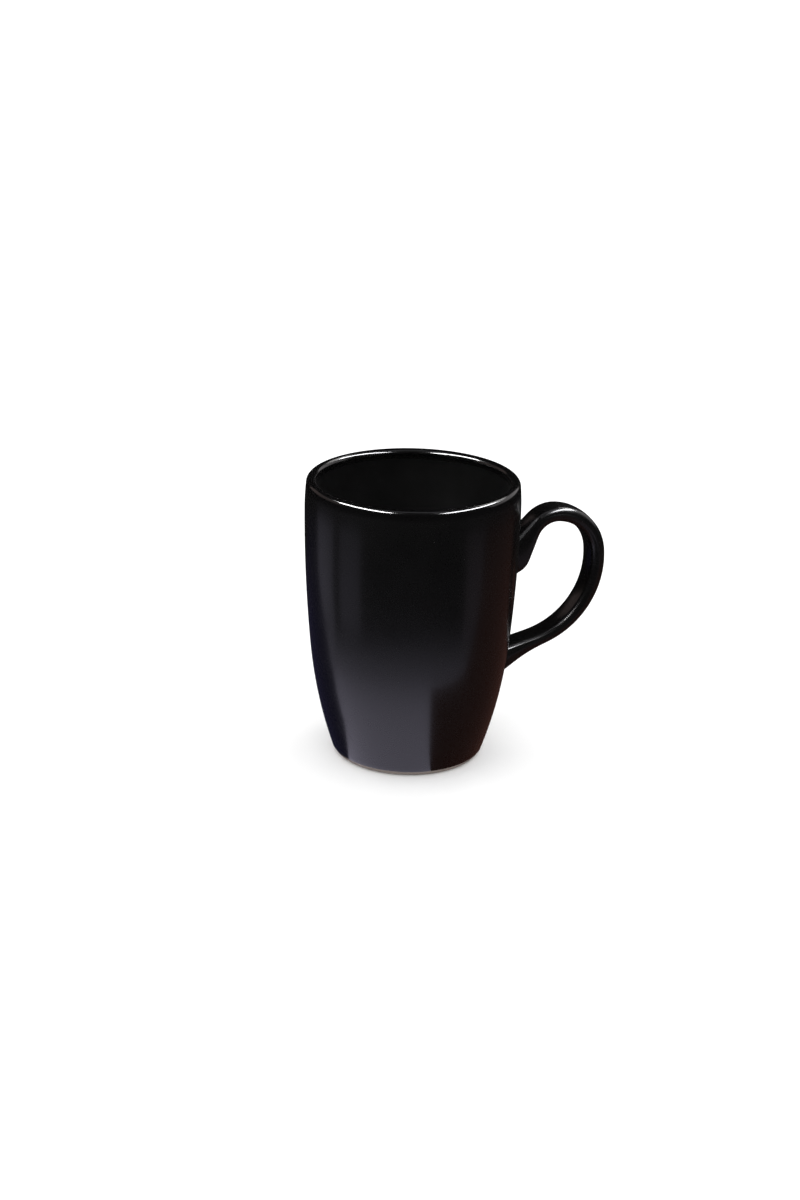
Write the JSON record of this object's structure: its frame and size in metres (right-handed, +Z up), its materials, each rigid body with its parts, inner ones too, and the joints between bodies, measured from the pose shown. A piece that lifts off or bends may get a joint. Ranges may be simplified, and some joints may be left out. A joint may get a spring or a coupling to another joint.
{
  "type": "coffee mug",
  "caption": "Tall barrel-sided ceramic mug with a full-round lip, a bare clay foot ring and an ear-shaped strap handle luted to the wall on slip, under a satin glaze.",
  "frame": {"origin": "middle of the foot ring, on the table plane the mug stands on", "axes": "+Z up along the mug's axis, +X from the axis towards the handle, whose loop lies in the XZ plane; the mug is the same on both sides of that plane"},
  "size_m": [0.1199, 0.082, 0.1106],
  "materials": {
    "clay": "fired dark stoneware, bare on the foot ring, dry and finely grained",
    "handle_clay": "fired dark stoneware under glaze",
    "slip": "fired luting slip, fine and matte",
    "outside_glaze": "black satin glaze, glossier where it thins over the lip",
    "inside_glaze": "black satin glaze",
    "handle_glaze": "black satin glaze"
  },
  "bodies": {
    "root": {"mug_body": "clay", "handle": "handle_clay", "upper_slip_joint": "slip", "lower_slip_joint": "slip", "outside_glaze": "outside_glaze", "inside_glaze": "inside_glaze", "handle_glaze": "handle_glaze"}
  },
  "joints": []
}
